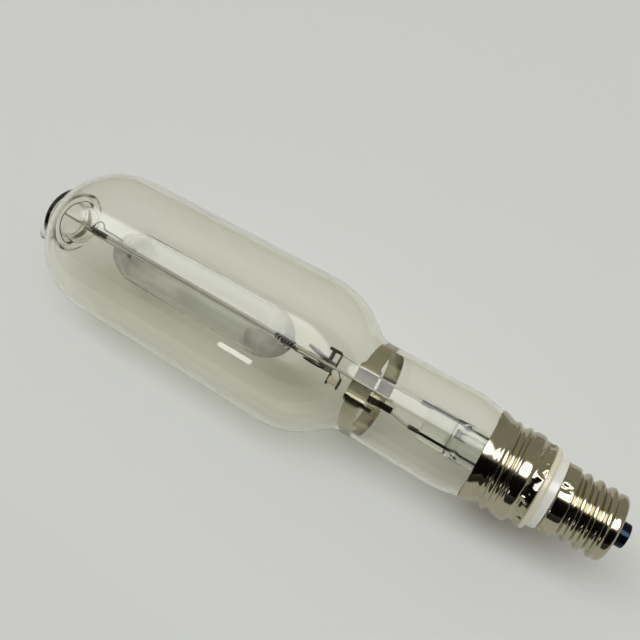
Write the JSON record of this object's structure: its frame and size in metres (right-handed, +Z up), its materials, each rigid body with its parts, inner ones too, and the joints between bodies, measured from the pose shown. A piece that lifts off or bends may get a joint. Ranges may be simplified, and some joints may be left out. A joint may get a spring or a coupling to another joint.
{
  "type": "metal halide lamp",
  "caption": "Clear tubular discharge lamp with a necked glass bulb, a wired quartz arc tube inside and a stepped two-shell screw cap with a ceramic spacer.",
  "frame": {"origin": "centre of the end face of the cap's contact", "axes": "+X points out of the cap along the lamp's axis, the bulb runs along -X, and +Z is up as the lamp lies"},
  "size_m": [0.3144, 0.0768, 0.0768],
  "materials": {
    "clear_glass": "clear soda or hard glass, faint yellow green tint",
    "stem_glass": "clear pressed glass",
    "quartz": "clear fused quartz",
    "black_glass": "black insulating glass",
    "nickel_shell": "bright nickel plate on rolled brass",
    "contact_metal": "dark blued button, glossy",
    "white_ceramic": "white glazed steatite",
    "cement": "matt capping cement",
    "nickel_wire": "drawn nickel and molybdenum wire, bright",
    "spring_strip": "bright rolled spring strip",
    "dark_strip": "dark oxidised strip",
    "tungsten": "drawn tungsten",
    "foil": "molybdenum foil",
    "cream_ceramic": "cream unglazed ceramic"
  },
  "bodies": {
    "root": {"outer_bulb": "clear_glass", "stem_press": "stem_glass", "arc_tube": "quartz", "quartz_sleeve": "quartz", "contact_insulator": "black_glass", "centre_contact": "contact_metal", "big_screw_shell": "nickel_shell", "small_screw_shell": "nickel_shell", "ceramic_insulator": "white_ceramic", "cap_cement": "cement", "starter_body": "cream_ceramic", "press_wire_return": "nickel_wire", "press_wire_feed": "nickel_wire", "return_rod": "nickel_wire", "feed_rod": "nickel_wire", "weld_sleeve_return": "nickel_wire", "weld_sleeve_feed": "nickel_wire", "frame_rod": "nickel_wire", "base_lead": "nickel_wire", "starting_lead": "nickel_wire", "dome_lead": "nickel_wire", "jumper_wire": "nickel_wire", "starter_link": "nickel_wire", "getter_loop": "nickel_wire", "getter_wire": "nickel_wire", "coil_stop_base": "nickel_wire", "coil_stop_dome": "nickel_wire", "dome_ring": "spring_strip", "neck_spring_near": "spring_strip", "neck_spring_far": "spring_strip", "mount_bracket": "dark_strip", "mount_tab": "dark_strip", "pinch_strap": "dark_strip", "cross_post": "dark_strip", "starter_clip_inner": "dark_strip", "starter_clip_outer": "dark_strip", "electrode_base": "tungsten", "electrode_dome": "tungsten", "starting_electrode": "tungsten", "foil_base": "foil", "foil_dome": "foil", "foil_starting": "foil"}
  },
  "joints": []
}
